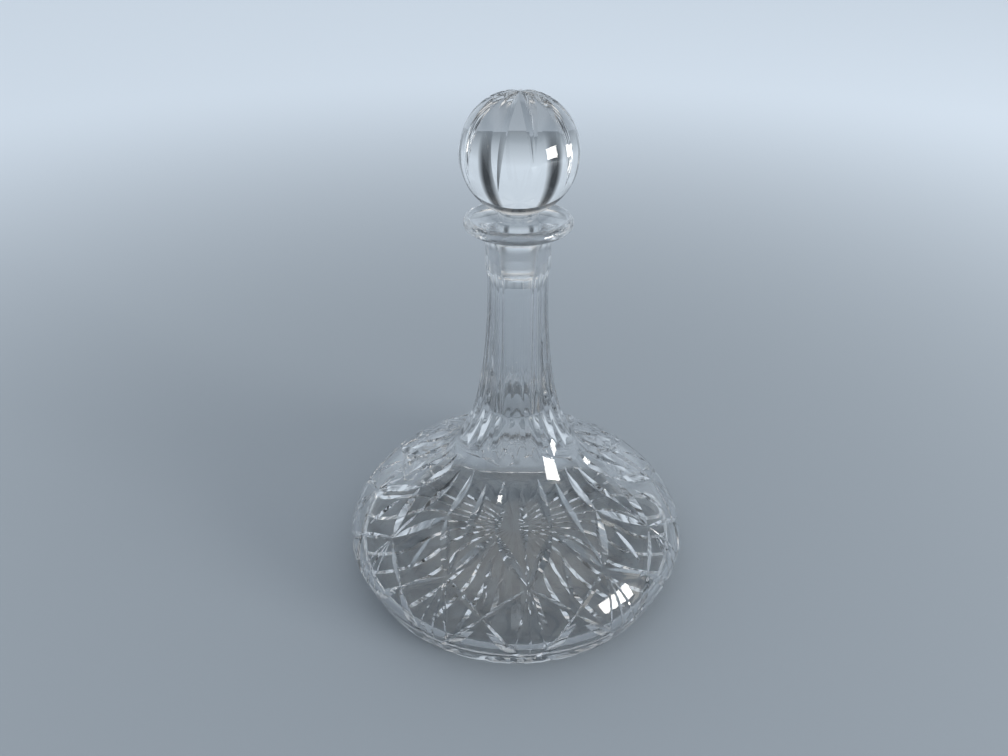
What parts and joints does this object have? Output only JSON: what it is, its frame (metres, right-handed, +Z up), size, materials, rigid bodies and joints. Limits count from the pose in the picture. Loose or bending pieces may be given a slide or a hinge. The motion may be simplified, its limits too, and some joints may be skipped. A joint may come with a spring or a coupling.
{
  "type": "decanter",
  "caption": "Squat cut-glass ship's decanter with a wide flat base, a tall fluted neck, a dished pouring lip and a grooved ball stopper that lifts out.",
  "frame": {"origin": "centre of the foot, on the surface that the decanter stands on", "axes": "+Z up along the axis of the neck and stopper, -Y towards the viewer of the picture, +X to its right"},
  "size_m": [0.195, 0.195, 0.2647],
  "materials": {
    "crystal": "polished clear lead crystal"
  },
  "bodies": {
    "decanter": {"decanter_body": "crystal"},
    "stopper": {"stopper": "crystal"}
  },
  "joints": [
    {"name": "stopper_lift", "type": "slide", "parent": "decanter", "child": "stopper", "axis": [0, 0, 1], "range_m": [0, 0.06]}
  ]
}
